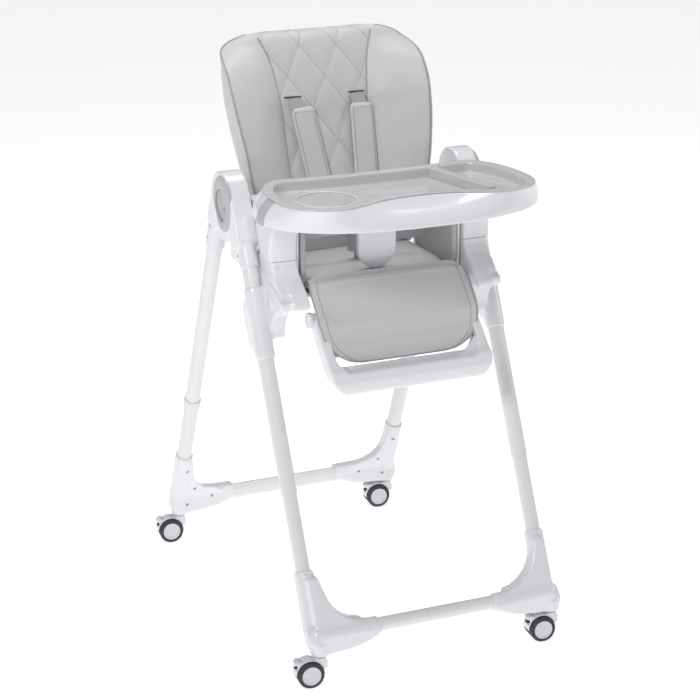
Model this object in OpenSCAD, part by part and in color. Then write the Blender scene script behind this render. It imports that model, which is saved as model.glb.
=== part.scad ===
// Folding high chair for babies: an A-frame on four casters, a seat that slides on the front legs,
// a reclining back, a hinged leg rest and a tray that slides on two arms.
// Millimetres. +Z is up, the child looks along -Y, and the origin is on the floor midway between
// the casters. Left and right are as seen from the front, so left is -X.

/* [Frame] */
// Half the distance between the left and right legs
leg_x = 240; // [236:1:244]
// Lean of the front legs from upright, in degrees
front_lean = 25.1; // [24.8:0.1:25.4]
// Lean of the rear legs from upright, in degrees
rear_lean = 22.2; // [21.9:0.1:22.5]
// Outer diameter of the upper front tubes
upper_tube_d = 31; // [30:0.5:31]
// Outer diameter of the lower front tubes
lower_tube_d = 28; // [27:0.5:28]
// Outer diameter of the rear tubes
rear_tube_d = 30; // [29:0.5:30]
// Wall of every leg tube
tube_wall = 1.4; // [1.2:0.1:1.45]

/* [Casters] */
// Diameter of the wheels
wheel_d = 50; // [48:1:50]
// How far the axle trails behind the stem
caster_trail = 21; // [20:1:22]
// Turn of the four casters about their stems, in degrees
caster_turn = -6; // [-15:1:15]

/* [Seat] */
// Height of the top of the seat pad
seat_z = 689; // [686:1:690]
// Half the width of the seat pad between its side wings
seat_half = 152; // [148:1:153]
// Lean of the backrest from upright, in degrees
back_lean = 16.5; // [15:0.5:18]
// Height of the backrest along its own plane
back_h = 431; // [430:1:434]

/* [Tray] */
// Half the width of the tray at its rim
tray_half = 253; // [250:1:255]
// Height of the tray's rim
tray_rim_z = 874; // [873:1:876]
// Height of the tray's skirt
skirt_h = 42; // [40:1:42]

/* [Hidden] */
$fn = 48;
run = 0.05; // running clearance of a pin in its bore
base_z = 34; // height that the lengths along the legs start from
front_y = -372; // front leg axis at base_z
rear_y = 399; // rear leg axis at base_z

front_stem_y = -373;
rear_stem_y = 373;
stem_r = 5;
front_stem_top = 92;
rear_stem_top = 80;
foot_base_z = 56; // underside of the four feet
wheel_r = wheel_d / 2;
wheel_w = 16;
hood_r = wheel_r + 2.5;
axle_r = 3;
pedal_pivot = [-41, 46]; // x, z from the stem

sleeve_bottom = 745; // along the front leg
upper_tube = [318, 820]; // ends along the front leg
lower_tube = [42, 345];
rear_tube = [50, 762]; // ends along the rear leg
socket_bottom = 729; // along the rear leg
front_foot_top = 175;
rear_foot_top = 184;

front_bar = [-366, 91]; // y, z of the front crossbar's axis
front_bar_d = 26;
rear_bar = [374, 87];
rear_bar_size = [22, 32]; // depth, height of the rear crossbar
bar_reach = 150; // half length of both crossbars
foot_reach = 117; // x where a foot ends on its crossbar

hub_x = [218, 262]; // inner and outer face of a hub
hub_half = 18.5; // radius of a hub's two limbs
hub_top = [38, 825];
hub_r = 49;
fold_pin = [42, 857]; // y, z of the fold axis
fold_pin_r = 4;
arc_r = 117; // the rear socket turns outside this arc
slot_x = [232, 248]; // space for the rear socket's tongue
hole_a = [[33, 816], 25]; // the finger hole is two circles and their tangents
hole_b = [[26, 802], 21];
ring_a = [[25, 828], 40]; // outside of the ring round it
ring_b = [[20, 791], 29];

slide_span = [571, 707]; // ends of a slider along the front leg
slider_r = 19;
bracket_x = [203.5, 224];
arm_x = [170, 216.5];
arm_bulge_x = 227;
arm_top = 829;
arm_seam = 733; // the upper arm stands on the slider's cheek
leg_gap = 22.5; // clear of the leg's axis, in front
shell_half = 169.7; // half width of the seat shell

recline_axis = [88, 684]; // y, z
legrest_axis = [-166, 628]; // y, z
calf_lean = 32; // from upright
calf_face = [15, 28]; // rear and front face of the calf pad, ahead of its hinge
calf_half = 158;
calf_corner = 52;
arm_bar_x = [146, 163]; // the foot bar's arms

deck_z = 852;
crotch_face = -103;
crotch_half = 39.5;

module right_and_left() {
    children();
    mirror([1, 0, 0]) children();
}

module on_side(side) {
    if (side == "left") mirror([1, 0, 0]) children();
    else children();
}

// z runs up the right front leg
module along_front() {
    translate([leg_x, front_y, base_z]) rotate([-front_lean, 0, 0]) children();
}

// z runs up the right rear leg
module along_rear() {
    translate([leg_x, rear_y, base_z]) rotate([rear_lean, 0, 0]) children();
}

// z runs up the backrest from its hinge, y points out of its rear face
module along_back() {
    translate([0, recline_axis[0], recline_axis[1]]) rotate([-back_lean, 0, 0]) children();
}

// z runs down the calf pad from the leg rest's hinge, y points forward out of its face
module along_calf() {
    translate([0, legrest_axis[0], legrest_axis[1]]) rotate([180 - calf_lean, 0, 0]) children();
}

// a side view outline of y, z points, made solid between two x positions
module side_solid(x) {
    translate([x[0], 0, 0]) rotate([90, 0, 90]) linear_extrude(x[1] - x[0]) children();
}

module x_rod(r, x, yz) {
    translate([x[0], yz[0], yz[1]]) rotate([0, 90, 0]) cylinder(r = r, h = x[1] - x[0]);
}

function front_point(t, off) = [
    front_y + t * sin(front_lean) + off * cos(front_lean),
    base_z + t * cos(front_lean) - off * sin(front_lean)
];

function rear_point(t, off) = [
    rear_y - t * sin(rear_lean) + off * cos(rear_lean),
    base_z + t * cos(rear_lean) + off * sin(rear_lean)
];

function unit(v) = v / norm(v);

// two circles joined by their outer tangents
module egg(a, ra, b, rb) {
    d = norm(b - a);
    along = unit(b - a);
    across = [-along[1], along[0]];
    c = (ra - rb) / d;
    s = sqrt(1 - c * c);
    n1 = along * c + across * s;
    n2 = along * c - across * s;
    translate(a) circle(ra);
    translate(b) circle(rb);
    polygon([a + n1 * ra, b + n1 * rb, b + n2 * rb, a + n2 * ra]);
}

module rounded_box(x, y, z, r) {
    for (i = [0:1], j = [0:1])
        translate([x[i] + (1 - 2 * i) * r, y[j] + (1 - 2 * j) * r, z[0]]) cylinder(r = r, h = z[1] - z[0]);
    translate([x[0] + r, y[0], z[0]]) cube([x[1] - x[0] - 2 * r, y[1] - y[0], z[1] - z[0]]);
    translate([x[0], y[0] + r, z[0]]) cube([x[1] - x[0], y[1] - y[0] - 2 * r, z[1] - z[0]]);
}

// ---- legs ----

module tube(d, ends) {
    translate([0, 0, ends[0]]) difference() {
        cylinder(d = d, h = ends[1] - ends[0]);
        translate([0, 0, -1]) cylinder(d = d - 2 * tube_wall, h = ends[1] - ends[0] + 2);
    }
}

module front_tube_upper(side) {
    color("gainsboro") on_side(side) along_front() tube(upper_tube_d, upper_tube);
}

module front_tube_lower(side) {
    color("gainsboro") on_side(side) along_front() tube(lower_tube_d, lower_tube);
}

module rear_tube(side) {
    color("gainsboro") on_side(side) along_rear() tube(rear_tube_d, rear_tube);
}

module bar_section(size) {
    square([size[0], size[1] - size[0]], center = true);
    for (s = [-1, 1]) translate([0, s * (size[1] - size[0]) / 2]) circle(d = size[0]);
}

module front_crossbar() {
    color("gainsboro") difference() {
        x_rod(front_bar_d / 2, [-bar_reach, bar_reach], front_bar);
        x_rod(front_bar_d / 2 - tube_wall, [-bar_reach - 1, bar_reach + 1], front_bar);
    }
}

module rear_crossbar() {
    color("gainsboro") translate([0, rear_bar[0], rear_bar[1]]) side_solid([-bar_reach, bar_reach])
        difference() {
            bar_section(rear_bar_size);
            bar_section(rear_bar_size - [2, 2] * tube_wall);
        }
}

// fills the inside corner between a leg and its crossbar with a quarter round
module foot_web(r, thick) {
    translate([-r, 0, 0]) rotate([90, 0, 0]) linear_extrude(thick, center = true)
        difference() {
            square([r, r]);
            translate([0, r]) circle(r);
        }
}

module front_foot(side) {
    color("white") on_side(side) difference() {
        union() {
            along_front() translate([0, 0, 45]) cylinder(r = 19, h = front_foot_top - 45);
            translate([leg_x, front_y + 22, 76]) sphere(20);
            translate([leg_x, front_bar[0], 78]) sphere(22);
            translate([leg_x, front_stem_y, foot_base_z]) cylinder(r = 17, h = 20);
            x_rod(18, [foot_reach, leg_x], front_bar - [0, 2]);
            translate([leg_x - 14, front_bar[0] + 8, front_bar[1] + 10]) rotate([-front_lean, 0, 0]) foot_web(66, 24);
        }
        along_front() translate([0, 0, lower_tube[0]]) cylinder(d = lower_tube_d + 0.1, h = 200);
        x_rod(front_bar_d / 2 + run, [foot_reach - 1, bar_reach], front_bar);
        translate([leg_x, front_stem_y, foot_base_z - 1]) cylinder(r = stem_r + run, h = front_stem_top - foot_base_z + 3);
    }
}

module rear_foot(side) {
    color("white") on_side(side) difference() {
        union() {
            along_rear() translate([0, 0, 50]) cylinder(r = 19, h = rear_foot_top - 50);
            translate([leg_x, rear_stem_y, 78]) sphere(22);
            translate([leg_x, rear_stem_y, foot_base_z]) cylinder(r = 17, h = 20);
            translate([0, rear_bar[0], rear_bar[1]]) side_solid([foot_reach, leg_x]) bar_section([30, 40]);
            translate([leg_x - 14, rear_bar[0], rear_bar[1] + 14]) rotate([rear_lean, 0, 0]) foot_web(62, 26);
        }
        along_rear() translate([0, 0, rear_tube[0]]) cylinder(d = rear_tube_d + 0.1, h = 200);
        translate([0, rear_bar[0], rear_bar[1]]) side_solid([foot_reach - 1, bar_reach + run])
            bar_section(rear_bar_size + [2, 2] * run);
        translate([leg_x, rear_stem_y, foot_base_z - 1]) cylinder(r = stem_r + run, h = 26);
    }
}

module foot_screws() {
    color("silver") right_and_left() for (p = [[226, 353.6, 78], [170, 358.7, 90], [212, 350.8, 116], [236, 321.4, 166]])
        translate(p) rotate([90, 0, 0]) cylinder(d = 6, h = 2);
}

// ---- casters ----

module at_caster(x, y) {
    translate([x, y, 0]) rotate([0, 0, caster_turn]) children();
}

module y_rod(r, y, xz) {
    translate([xz[0], y[0], xz[1]]) rotate([-90, 0, 0]) cylinder(r = r, h = y[1] - y[0]);
}

module caster_fork(x, y, top) {
    color("white") at_caster(x, y) {
        difference() {
            union() {
                y_rod(hood_r, [-13, 13], [-caster_trail, wheel_r]);
                translate([-18, -13, 30]) cube([30, 26, 22]);
                cylinder(r = 13, h = foot_base_z - 1);
                y_rod(5, [-13, 13], pedal_pivot);
            }
            translate([-100, -50, -10]) cube([200, 100, wheel_r + 7]);
            for (s = [-1, 1]) y_rod(wheel_r + 1.2, s > 0 ? [3, 30] : [-30, -3], [-caster_trail, wheel_r]);
            y_rod(axle_r + run, [-20, 20], [-caster_trail, wheel_r]);
            y_rod(2 + run, [-20, 20], pedal_pivot);
            translate([-60, -9.5, 34]) cube([25, 19, 30]);
        }
        difference() {
            y_rod(8, [-3, 3], [-caster_trail, wheel_r]);
            y_rod(axle_r + run, [-20, 20], [-caster_trail, wheel_r]);
        }
        translate([0, 0, foot_base_z - 12]) cylinder(r = stem_r, h = top - foot_base_z + 12);
    }
}

module wheel_centres(x, y) {
    color("whitesmoke") at_caster(x, y) {
        y_rod(axle_r, [-16, 16], [-caster_trail, wheel_r]);
        for (s = [-1, 1]) y_rod(18, s > 0 ? [4, 4 + wheel_w + 1] : [-5 - wheel_w, -4], [-caster_trail, wheel_r]);
    }
}

module tyres(x, y) {
    color("darkslategray") at_caster(x, y) for (s = [-1, 1]) difference() {
        y_rod(wheel_r, s > 0 ? [4, 4 + wheel_w] : [-4 - wheel_w, -4], [-caster_trail, wheel_r]);
        y_rod(18.02, [-40, 40], [-caster_trail, wheel_r]);
    }
}

module brake_pedal(x, y) {
    color("white") at_caster(x, y) {
        difference() {
            union() {
                y_rod(2, [-12, 12], pedal_pivot);
                y_rod(4, [-9, 9], pedal_pivot);
                translate([-49, -9, 43]) cube([12, 18, 6]);
            }
            y_rod(wheel_r + 2, [-20, 20], [-caster_trail, wheel_r]);
        }
    }
}

// ---- hubs ----

module disc(r) {
    translate(fold_pin) circle(r);
}

// side view of a hub; in makes it smaller all round
module hub_head(in = 0) {
    translate(hub_top) circle(hub_r - in, $fn = 96);
    egg(hub_top, hub_r - in, front_point(800, 0), hub_half - in);
    egg(hub_top, hub_r - in, rear_point(785, 0), hub_half - in);
    polygon([hub_top, front_point(sleeve_bottom, 0), rear_point(socket_bottom, 0)]);
}

module hub_shell(side) {
    color("white") on_side(side) difference() {
        union() {
            along_front() translate([0, 0, sleeve_bottom]) cylinder(r = hub_half, h = 105);
            intersection() {
                along_rear() translate([0, 0, socket_bottom]) cylinder(r = hub_half, h = 110);
                side_solid(hub_x) disc(arc_r);
            }
            side_solid([222.5, 257.5]) intersection() {
                hub_head();
                disc(arc_r);
            }
            side_solid(hub_x) intersection() {
                egg(hub_top, hub_r, hole_b[0] + [0, 4], 40);
                hub_head();
            }
        }
        along_front() translate([0, 0, sleeve_bottom - 1])
            cylinder(d = upper_tube_d + 0.1, h = upper_tube[1] - sleeve_bottom + 2);
        side_solid(slot_x) intersection() {
            hub_head(4);
            polygon([
                front_point(650, hub_half), front_point(870, hub_half), [14, 890], [120, 890], [160, 700]
            ]);
        }
        side_solid(hub_x + [-1, 1]) egg(hole_a[0], hole_a[1], hole_b[0], hole_b[1]);
        side_solid([260, 263]) egg(ring_a[0], ring_a[1] + 0.1, ring_b[0], ring_b[1] + 0.1);
        side_solid([249, 259]) translate([15, 799]) square([36, 65]);
        x_rod(fold_pin_r + 0.02, [221, 250], fold_pin);
    }
}

module hub_rings() {
    color("silver") right_and_left() side_solid([260, 264]) difference() {
        egg(ring_a[0], ring_a[1], ring_b[0], ring_b[1]);
        egg(hole_a[0], hole_a[1], hole_b[0], hole_b[1]);
    }
}

module fold_pins() {
    color("silver") right_and_left() x_rod(fold_pin_r, [221, 249], fold_pin);
}

module fold_trigger(side) {
    color("lightgray") on_side(side) side_solid([249.5, 258.5]) {
        translate([17, 816]) square([32, 38]);
        translate([33, 816]) circle(13);
    }
}

module rear_socket(side) {
    color("white") on_side(side) {
        difference() {
            along_rear() translate([0, 0, socket_bottom]) cylinder(r = hub_half, h = 110);
            side_solid(hub_x) disc(arc_r + 0.8);
            side_solid(hub_x) polygon([rear_point(775, -60), rear_point(775, 60), rear_point(900, 60), rear_point(900, -60)]);
            along_rear() translate([0, 0, socket_bottom - 1])
                cylinder(d = rear_tube_d + 0.1, h = rear_tube[1] - socket_bottom + 2);
        }
        difference() {
            side_solid(slot_x + [0.7, -0.7]) {
                translate(fold_pin) circle(10);
                egg([72, 828], 9, fold_pin, 9);
                egg([72, 828], 9, [92, 770], 11);
                egg([92, 770], 11, rear_point(768, 0), 9);
            }
            x_rod(fold_pin_r + run, [200, 260], fold_pin);
        }
    }
}

module tray_hooks() {
    color("white") right_and_left() along_rear() translate([0, 0, 318]) difference() {
        union() {
            cylinder(d = rear_tube_d + 5, h = 18);
            translate([-6, 12, 0]) cube([12, 14, 8]);
            translate([-6, 22, 0]) cube([12, 4, 18]);
        }
        translate([0, 0, -1]) cylinder(d = rear_tube_d + 0.1, h = 20);
    }
}

// ---- seat ----

module leg_clearance() {
    polygon([front_point(500, -leg_gap), front_point(900, -leg_gap), front_point(900, -190), front_point(500, -190)]);
}

module slider(side) {
    color("white") on_side(side) {
        along_front() difference() {
            union() {
                translate([0, 0, slide_span[0]]) cylinder(r = slider_r, h = slide_span[1] - slide_span[0]);
                translate([0, 0, 592]) rounded_box([-14, 14], [0, 33], [0, 86], 6);
            }
            translate([0, 0, slide_span[0] - 1])
                cylinder(r = upper_tube_d / 2 + 0.3, h = slide_span[1] - slide_span[0] + 2);
            translate([-8, 25, 606]) cube([16, 9, 58]);
        }
        difference() {
            union() {
                side_solid(bracket_x) polygon([
                    [-84, 586], [-123, 586], [-123, 612], [-128, 628], [-140, 641], [-160, 650], [-160, 684], [-62, 684], [-62, 640]
                ]);
                side_solid([arm_x[0], 222]) intersection() {
                    polygon([
                        [-38, arm_seam], [-40, 655], [-128, 650], [-176, 651], [-185, 656], [-184, 664], [-160, 688],
                        [-134, 706], [-122, 720], [-120, arm_seam]
                    ]);
                    leg_clearance();
                }
            }
            along_front() translate([0, 0, slide_span[0] - 30]) cylinder(r = slider_r - 1, h = 145);
        }
        side_solid([arm_x[0], bracket_x[0] + 1]) polygon([
            [-38, arm_seam], [-40, 655], [-128, 650], [-160, 651], [-160, 688], [-134, 706], [-122, 720], [-120, arm_seam]
        ]);
    }
}

module height_button(side) {
    color("lightgray") on_side(side) along_front() translate([-7.5, 27.5, 606.5]) cube([15, 7, 57]);
}

module arm(side) {
    color("white") on_side(side) {
        side_solid(arm_x) polygon([
            [-146, arm_top], [10, arm_top], [10, 800], [-20, 774], [-38, arm_seam + 0.2],
            [-120, arm_seam + 0.2], [-121, 769], [-134, 800]
        ]);
        side_solid([arm_x[1], arm_bulge_x]) intersection() {
            polygon([
                [-146, arm_top], [40, arm_top], [40, arm_seam + 0.2], [-120, arm_seam + 0.2], [-121, 769], [-134, 800]
            ]);
            leg_clearance();
        }
    }
}

module seat_shell() {
    lug = legrest_axis;
    color("white") difference() {
        union() {
            translate([-shell_half, -112, 655]) cube([2 * shell_half, 196, 142]);
            right_and_left() side_solid([126, 140]) {
                translate(lug) circle(11);
                polygon([lug + [2, 9], [-112, 664], [-100, 668], [-100, 655], lug + [3, -10.5]]);
            }
            right_and_left() side_solid([150, 164]) {
                translate(recline_axis) circle(12);
                polygon([[80, 696], [60, 694], [60, 660], [84, 672]]);
            }
        }
        translate([-163, -140, 660]) cube([326, 250, 160]);
        translate([-140, 60, 650]) cube([280, 40, 60]);
        translate([-180, 50, 704]) cube([360, 60, 120]);
        for (x = [[100, 144], [-144, -100]]) x_rod(4 + run, x, lug);
        for (x = [[149, 165], [-165, -149]]) x_rod(5 + run, x, recline_axis);
    }
}

module seat_pad() {
    color("darkgray") {
        translate([-seat_half, -118, 661]) cube([2 * seat_half, 178, seat_z - 661]);
        right_and_left() side_solid([seat_half, 162]) polygon([
            [-118, 661], [48, 661], [48, 754], [30, 792], [-96, 792], [-112, 774]
        ]);
        side_solid([-seat_half, seat_half]) polygon([
            [-117, seat_z], [-140, seat_z - 2], [-158, 669], [-151, 661], [-138, 668], [-117, 670]
        ]);
    }
}

module lap_harness() {
    color("dimgray") {
        translate([-24, -30, seat_z + 18]) cube([48, 14, 40]);
        translate([-12.5, -26, seat_z + 0.3]) cube([25, 4, 18]);
        right_and_left() translate([24, -26, seat_z + 30]) cube([110, 3, 25]);
    }
}

// ---- backrest ----

// the backrest seen from the front: half widths up its height
module back_front_view(in = 0) {
    half = [
        [40 + in, 160], [100, 178], [152, 188], [195, 196], [244, 203], [302, 206], [339, 204], [364, 197],
        [385, 188], [403, 175], [418, 155], [427, 130], [back_h - in, 108]
    ];
    n = len(half);
    polygon([
        for (p = half) [p[1] - in, p[0]],
        for (i = [n - 1:-1:0]) [in - half[i][1], half[i][0]]
    ]);
}

module back_pad() {
    color("darkgray") along_back() intersection() {
        translate([0, 100, 0]) rotate([90, 0, 0]) linear_extrude(300) back_front_view();
        union() {
            translate([-107, -20, 20]) cube([214, 26, back_h - 20]);
            right_and_left() intersection() {
                linear_extrude(440) polygon([
                    [105, -20], [114, -31], [150, -46], [185, -70], [203, -80], [208, -76], [203, -40], [188, 6], [105, 6]
                ]);
                side_solid([90, 215]) polygon([
                    [10, 0], [10, 431], [0, 433], [-16, 427], [-32, 400], [-48, 372], [-66, 338], [-76, 302], [-80, 244], [-80, 195],
                    [-74, 150], [-62, 100], [-34, 40]
                ]);
            }
        }
    }
}

module back_shell() {
    color("white") along_back() difference() {
        union() {
            translate([0, 14, 0]) rotate([90, 0, 0]) linear_extrude(7.5) back_front_view(20);
            translate([-132, 6.3, 8]) cube([264, 7.7, 60]);
            right_and_left() x_rod(12, [130, 149.5], [0, 0]);
            right_and_left() x_rod(5, [140, 162], [0, 0]);
            right_and_left() translate([130, -8, 2]) cube([18, 22, 37.5]);
            translate([-40, 14, 290]) cube([80, 8, 60]);
        }
        translate([-30.5, 16, 299.5]) cube([61, 20, 41]);
    }
}

module recline_lever() {
    color("lightgray") along_back() {
        translate([-30, 17, 300]) cube([60, 8, 40]);
    }
}

module shoulder_harness() {
    color("gray") along_back() {
        translate([40, -27, 120]) rotate([0, 7.5, 0]) cube([42, 6, 170]);
        mirror([1, 0, 0]) translate([8, -27, 120]) rotate([0, 8, 0]) cube([42, 6, 170]);
    }
}

// ---- leg rest ----

module foot_bar() {
    color("white") {
        right_and_left() difference() {
            side_solid(arm_bar_x) egg(legrest_axis, 13, [-242, 543], 16);
            x_rod(4 + run, arm_bar_x + [-1, 1], legrest_axis);
        }
        side_solid([-arm_bar_x[0] - 1, arm_bar_x[0] + 1]) polygon([
            [-236, 549], [-246, 556], [-258, 555], [-268, 530], [-268, 516], [-262, 511], [-254, 512], [-244, 532]
        ]);
    }
}

module foot_bar_knobs() {
    color("white") right_and_left() {
        x_rod(15, [arm_bar_x[1] + 0.2, 171], legrest_axis);
        x_rod(4, [120, arm_bar_x[1] + 1], legrest_axis);
    }
}

module calf_board() {
    color("white") along_calf() difference() {
        union() {
            translate([-arm_bar_x[0] + 0.5, 3, 14]) cube([2 * arm_bar_x[0] - 1, calf_face[0] - 3.2, 64]);
            translate([-120, calf_face[0] - 6, -6]) cube([240, 5.8, 24]);
        }
        translate([-arm_bar_x[0] + 12, 2, 26]) cube([2 * arm_bar_x[0] - 24, 6, 42]);
    }
}

module calf_pad() {
    r = calf_corner;
    color("darkgray") difference() {
        along_calf() translate([0, calf_face[1], 0]) rotate([90, 0, 0])
            linear_extrude(calf_face[1] - calf_face[0]) {
                translate([-calf_half, 6]) square([2 * calf_half, 86 - r]);
                translate([r - calf_half, 30]) square([2 * (calf_half - r), 62]);
                for (s = [-1, 1]) translate([s * (calf_half - r), 92 - r]) circle(r, $fn = 64);
            }
        right_and_left() side_solid(arm_bar_x + [-1, 1]) egg(legrest_axis, 13.5, [-242, 543], 16.5);
    }
}

// ---- tray ----

// half of the tray's rim from the middle of the back round to the middle of the front
rim_half = [
    [0, -80], [60, -80], [120, -77], [151, -73], [184, -67], [208, -76], [228, -100], [242, -132], [250, -170],
    [tray_half, -210], [251, -245], [243, -270], [228, -292], [208, -307], [185, -314], [155, -316], [125, -306],
    [95, -292], [62, -281], [30, -276], [0, -275]
];
// and of the lower edge of its skirt, point for point
skirt_half = [
    [0, -79], [60, -79], [120, -76], [152, -72], [186, -66], [213, -74], [236, -96], [253, -126], [268, -160],
    [277, -190], [277, -214], [264, -246], [244, -273], [222, -293], [196, -309], [163, -323], [130, -332],
    [98, -338], [64, -342], [32, -344], [0, -344]
];

function whole(half) = [
    for (p = half) p,
    for (i = [len(half) - 2:-1:1]) [-half[i][0], half[i][1]]
];

// the outline part of the way from the rim, 0, to the skirt's edge, 1
function tray_edge(u) = whole([for (i = [0:len(rim_half) - 1]) rim_half[i] * (1 - u) + skirt_half[i] * u]);

module tray_outline(in = 0) {
    offset(delta = -in) polygon(tray_edge(0));
}

module tray_body() {
    skirt_z = tray_rim_z - skirt_h;
    flare = [1, 0.95, 0.85, 0.66, 0.4, 0.12]; // from the skirt's edge up to the rim
    rise = (skirt_h - 0.8) / len(flare);
    color("white") difference() {
        for (k = [0:len(flare) - 1])
            translate([0, 0, skirt_z]) linear_extrude((k + 1) * rise) polygon(tray_edge(flare[k]));
        translate([0, 0, skirt_z - 1]) linear_extrude(deck_z - skirt_z - 3) offset(delta = -7) polygon(tray_edge(0.5));
        translate([0, 0, deck_z]) linear_extrude(30) tray_outline(8);
        right_and_left() translate([249, -216, skirt_z - 1]) cube([30, 40, skirt_h - 8]);
    }
}

module tray_liner() {
    color("lightgray") difference() {
        union() {
            translate([0, 0, tray_rim_z - 0.6]) linear_extrude(1.6) tray_outline(-0.5);
            translate([0, 0, deck_z + 0.2]) linear_extrude(tray_rim_z - deck_z) tray_outline(8.5);
        }
        translate([0, 0, deck_z + 3]) linear_extrude(40) tray_outline(19);
    }
}

module tray_latch(side) {
    color("silver") on_side(side) side_solid([253, 268])
        translate([-215.5, tray_rim_z - skirt_h + 1]) square([39, skirt_h - 12]);
}

module crotch_post() {
    z = 732;
    color("white") translate([0, crotch_face + 14, 0]) rotate([90, 0, 0]) linear_extrude(14) {
        translate([0, z]) circle(crotch_half);
        translate([-crotch_half, z]) square([2 * crotch_half, deck_z - 4.2 - z]);
    }
}

NODES = [
    "front_tube_upper_left", "front_tube_upper_right", "front_tube_lower_left", "front_tube_lower_right",
    "front_foot_left", "front_foot_right", "front_crossbar",
    "hub_shell_left", "hub_shell_right", "hub_rings", "fold_pins", "fold_trigger_left", "fold_trigger_right",
    "rear_socket_left", "rear_socket_right", "rear_tube_left", "rear_tube_right",
    "rear_foot_left", "rear_foot_right", "rear_crossbar", "foot_screws", "tray_hooks",
    "caster_fork_front_left", "caster_fork_front_right", "caster_fork_rear_left", "caster_fork_rear_right",
    "wheel_centres_front_left", "wheel_centres_front_right", "wheel_centres_rear_left",
    "wheel_centres_rear_right",
    "tyres_front_left", "tyres_front_right", "tyres_rear_left", "tyres_rear_right",
    "brake_pedal_front_left", "brake_pedal_front_right", "brake_pedal_rear_left", "brake_pedal_rear_right",
    "slider_left", "slider_right", "height_button_left", "height_button_right", "arm_left", "arm_right",
    "seat_shell", "seat_pad", "lap_harness",
    "back_shell", "back_pad", "recline_lever", "shoulder_harness",
    "foot_bar", "foot_bar_knobs", "calf_board", "calf_pad",
    "tray_body", "tray_liner", "tray_latch_left", "tray_latch_right", "crotch_post"
];
node = "all";

function on(name) = node == "all" || node == name;

for (side = ["left", "right"]) {
    if (on(str("front_tube_upper_", side))) front_tube_upper(side);
    if (on(str("front_tube_lower_", side))) front_tube_lower(side);
    if (on(str("front_foot_", side))) front_foot(side);
    if (on(str("hub_shell_", side))) hub_shell(side);
    if (on(str("fold_trigger_", side))) fold_trigger(side);
    if (on(str("rear_socket_", side))) rear_socket(side);
    if (on(str("rear_tube_", side))) rear_tube(side);
    if (on(str("rear_foot_", side))) rear_foot(side);
    if (on(str("slider_", side))) slider(side);
    if (on(str("height_button_", side))) height_button(side);
    if (on(str("arm_", side))) arm(side);
    if (on(str("tray_latch_", side))) tray_latch(side);
}

// name, x, y and top of the stem of each caster
casters = [
    ["front_left", -leg_x, front_stem_y, front_stem_top],
    ["front_right", leg_x, front_stem_y, front_stem_top],
    ["rear_left", -leg_x, rear_stem_y, rear_stem_top],
    ["rear_right", leg_x, rear_stem_y, rear_stem_top]
];
for (c = casters) {
    if (on(str("caster_fork_", c[0]))) caster_fork(c[1], c[2], c[3]);
    if (on(str("wheel_centres_", c[0]))) wheel_centres(c[1], c[2]);
    if (on(str("tyres_", c[0]))) tyres(c[1], c[2]);
    if (on(str("brake_pedal_", c[0]))) brake_pedal(c[1], c[2]);
}

if (on("front_crossbar")) front_crossbar();
if (on("hub_rings")) hub_rings();
if (on("fold_pins")) fold_pins();
if (on("rear_crossbar")) rear_crossbar();
if (on("foot_screws")) foot_screws();
if (on("tray_hooks")) tray_hooks();
if (on("seat_shell")) seat_shell();
if (on("seat_pad")) seat_pad();
if (on("lap_harness")) lap_harness();
if (on("back_shell")) back_shell();
if (on("back_pad")) back_pad();
if (on("recline_lever")) recline_lever();
if (on("shoulder_harness")) shoulder_harness();
if (on("foot_bar")) foot_bar();
if (on("foot_bar_knobs")) foot_bar_knobs();
if (on("calf_board")) calf_board();
if (on("calf_pad")) calf_pad();
if (on("tray_body")) tray_body();
if (on("tray_liner")) tray_liner();
if (on("crotch_post")) crotch_post();
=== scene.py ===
# Folding high chair for babies: looks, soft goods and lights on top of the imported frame.
# Metres, +Z up, the child looks along -Y.
import math

import bmesh
import bpy
from mathutils import Matrix, Vector, noise


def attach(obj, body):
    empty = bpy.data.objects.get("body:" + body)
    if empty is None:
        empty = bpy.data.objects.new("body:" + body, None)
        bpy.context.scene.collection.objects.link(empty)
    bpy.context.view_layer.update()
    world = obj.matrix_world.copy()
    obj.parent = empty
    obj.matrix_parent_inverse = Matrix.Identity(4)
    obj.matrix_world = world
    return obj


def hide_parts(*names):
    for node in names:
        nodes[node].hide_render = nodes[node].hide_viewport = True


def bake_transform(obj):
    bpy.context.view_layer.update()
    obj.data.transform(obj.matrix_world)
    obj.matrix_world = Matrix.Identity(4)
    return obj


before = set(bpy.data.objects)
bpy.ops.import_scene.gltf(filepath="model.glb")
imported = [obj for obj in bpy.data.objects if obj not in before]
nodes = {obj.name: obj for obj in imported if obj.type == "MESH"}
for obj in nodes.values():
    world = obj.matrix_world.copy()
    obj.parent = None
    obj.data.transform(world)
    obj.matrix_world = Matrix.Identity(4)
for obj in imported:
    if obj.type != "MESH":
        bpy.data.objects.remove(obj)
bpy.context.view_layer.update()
scene = bpy.context.scene
mm = 0.001
print("frame loaded")

# camera first

camera = {
    "at": (-1.7417, -3.8618, 1.8965),
    "look": (0.3884, 0.8666, -0.3134),
    "roll": -0.08,
    "lens": 117.6,
}


def setCamera(c):
    data = bpy.data.cameras.new("camera")
    data.lens = c["lens"]
    data.sensor_width = 36
    data.clip_start = 0.1
    obj = bpy.data.objects.new("camera", data)
    scene.collection.objects.link(obj)
    turn = Vector(c["look"]).to_track_quat("-Z", "Y").to_matrix().to_4x4()
    obj.matrix_world = Matrix.Translation(c["at"]) @ turn @ Matrix.Rotation(math.radians(c["roll"]), 4, "Z")
    scene.camera = obj


setCamera(camera)
scene.view_settings.view_transform = "Standard"


# shader wiring


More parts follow.
